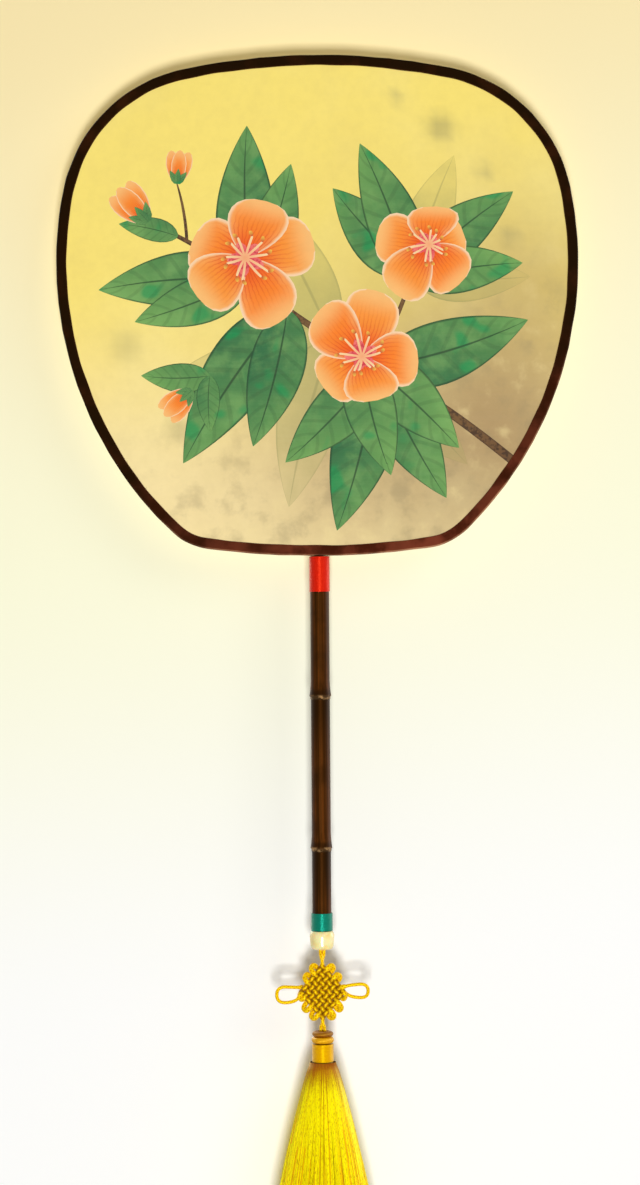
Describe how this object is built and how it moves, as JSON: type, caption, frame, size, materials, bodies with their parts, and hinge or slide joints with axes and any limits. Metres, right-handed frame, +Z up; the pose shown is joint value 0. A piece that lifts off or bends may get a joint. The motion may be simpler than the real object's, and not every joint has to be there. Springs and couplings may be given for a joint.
{
  "type": "round silk hand fan",
  "caption": "Round hand fan: painted silk stretched in a bound hoop on a slim bamboo handle with thread wraps, an end bead, a woven cord knot and a tassel.",
  "frame": {"origin": "middle of the grip, on the handle's axis", "axes": "+Z up along the handle towards the hoop, -Y out of the painted face, +X to the right seen from the front"},
  "size_m": [0.261, 0.054, 0.5934],
  "materials": {
    "binding_tape": "dark brown lacquered cloth tape",
    "strip_bamboo": "split bamboo, unfinished",
    "painted_silk": "sized silk, painted in ink and colour",
    "dark_bamboo": "dark stained bamboo, waxed",
    "red_thread": "red silk thread",
    "teal_thread": "teal silk thread",
    "white_bead": "creamy white turned bead, polished",
    "gold_cord": "golden silk cord",
    "collar_thread": "bronze-gold rolled thread",
    "neck_thread": "bright gold thread",
    "tassel_yarn": "golden rayon yarn"
  },
  "bodies": {
    "handle": {"edge_binding": "binding_tape", "hoop_strip": "strip_bamboo", "silk_panel": "painted_silk", "bamboo_handle": "dark_bamboo", "top_wrap_underlay": "red_thread", "top_wrap_turns": "red_thread", "end_wrap_underlay": "teal_thread", "end_wrap_turns": "teal_thread", "end_bead": "white_bead", "anchor_cord": "gold_cord"},
    "hanger": {"hanger_cord_left": "gold_cord", "hanger_cord_right": "gold_cord"},
    "knot": {"knot_cord_front": "gold_cord", "knot_cord_back": "gold_cord"},
    "tail": {"tail_cord_front": "gold_cord", "tail_cord_back": "gold_cord"},
    "tassel": {"tassel_cord_left": "gold_cord", "tassel_cord_right": "gold_cord", "tassel_collar": "collar_thread", "tassel_neck_turns": "neck_thread", "tassel_yarn": "tassel_yarn"}
  },
  "joints": [
    {"name": "pendant_front_swing", "type": "hinge", "parent": "handle", "child": "hanger", "pos_m": [0, 0, -0.08897], "axis": [1, 0, 0], "range_deg": [-70, 70]},
    {"name": "knot_side_swing", "type": "hinge", "parent": "hanger", "child": "knot", "pos_m": [0, 0, -0.09358], "axis": [0, 1, 0], "range_deg": [-70, 70]},
    {"name": "tail_side_swing", "type": "hinge", "parent": "knot", "child": "tail", "pos_m": [0, 0, -0.12516], "axis": [0, 1, 0], "range_deg": [-45, 45]},
    {"name": "tassel_front_swing", "type": "hinge", "parent": "tail", "child": "tassel", "pos_m": [0, 0, -0.12796], "axis": [1, 0, 0], "range_deg": [-60, 60]}
  ]
}
